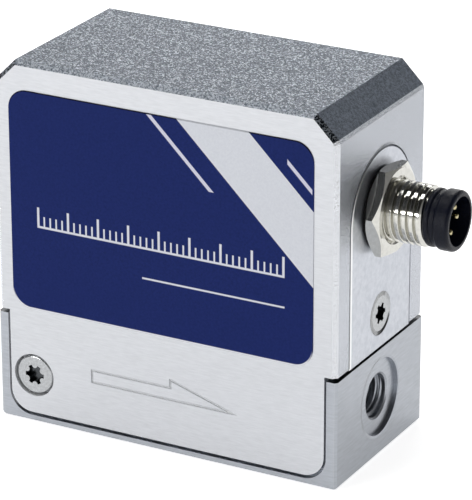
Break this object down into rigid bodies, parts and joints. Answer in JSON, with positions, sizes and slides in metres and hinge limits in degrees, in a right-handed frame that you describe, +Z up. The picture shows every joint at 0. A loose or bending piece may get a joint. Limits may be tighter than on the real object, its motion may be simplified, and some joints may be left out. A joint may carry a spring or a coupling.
{
  "type": "mass flow controller",
  "caption": "Thermal gas mass flow controller: aluminium base with threaded ports, deep cover with a front label and an M8 plug on the outlet end.",
  "frame": {"origin": "centre of the base underside, in the middle of the four mounting holes", "axes": "+X along the gas flow towards the outlet and the plug, +Y from the label side to the back, +Z up"},
  "size_m": [0.061, 0.0251, 0.0505],
  "materials": {
    "base_metal": "fine-milled, bead-blasted aluminium",
    "cover_metal": "clear-anodised aluminium, brushed faces and a coarsely blasted top",
    "plate_metal": "clear-anodised aluminium",
    "label_print": "satin printed film, navy with pale bands",
    "screw_steel": "stainless steel",
    "connector_nickel": "nickel-plated brass",
    "plug_plastic": "black glass-filled plastic",
    "contact_gold": "gold-plated",
    "seal_rubber": "matt elastomer",
    "inner_steel": "stainless and soft-magnetic steel",
    "spring_steel": "drawn spring wire",
    "bobbin_plastic": "moulded plastic",
    "winding_copper": "enamelled copper wire",
    "board_green": "solder-masked glass-fibre board",
    "chip_black": "moulded package",
    "capacitor_can": "drawn can",
    "flex_amber": "polyimide film",
    "sensor_metal": "machined"
  },
  "bodies": {
    "housing": {"base_block": "base_metal", "cover": "cover_metal", "label": "label_print", "cover_screws": "screw_steel", "connector_plate": "plate_metal", "plate_screw": "screw_steel", "connector_shell": "connector_nickel", "nut_washer": "seal_rubber", "connector_nut": "connector_nickel", "connector_insert": "plug_plastic", "contact_pins": "contact_gold", "inlet_screen": "inner_steel", "laminar_element": "inner_steel", "valve_nozzle": "inner_steel", "valve_seal": "seal_rubber", "valve_flange": "inner_steel", "valve_screws": "screw_steel", "core_tube": "inner_steel", "fixed_core": "inner_steel", "return_spring": "spring_steel", "coil_yoke": "inner_steel", "coil_bobbin": "bobbin_plastic", "coil_winding": "winding_copper", "coil_nut": "screw_steel", "coil_terminals": "contact_gold", "sensor_gasket": "seal_rubber", "sensor_manifold": "sensor_metal", "sensor_board": "board_green", "sensor_die": "chip_black", "sensor_amplifier": "chip_black", "sensor_screws": "screw_steel", "sensor_flex": "flex_amber", "main_board": "board_green", "board_bracket": "inner_steel", "bracket_screws": "screw_steel", "board_spacers": "contact_gold", "board_screws": "screw_steel", "controller_chip": "chip_black", "valve_driver_chip": "chip_black", "board_capacitors": "capacitor_can", "flex_socket": "chip_black", "connector_board": "board_green", "board_header": "chip_black"},
    "valve_plunger": {"plunger": "inner_steel", "plunger_pad": "seal_rubber"}
  },
  "joints": [
    {"name": "valve_lift", "type": "slide", "parent": "housing", "child": "valve_plunger", "axis": [0, 0, 1], "range_m": [0, 0.0004], "stiffness_N_per_m": 300, "springref_m": -0.002, "deforming": ["return_spring"]}
  ]
}
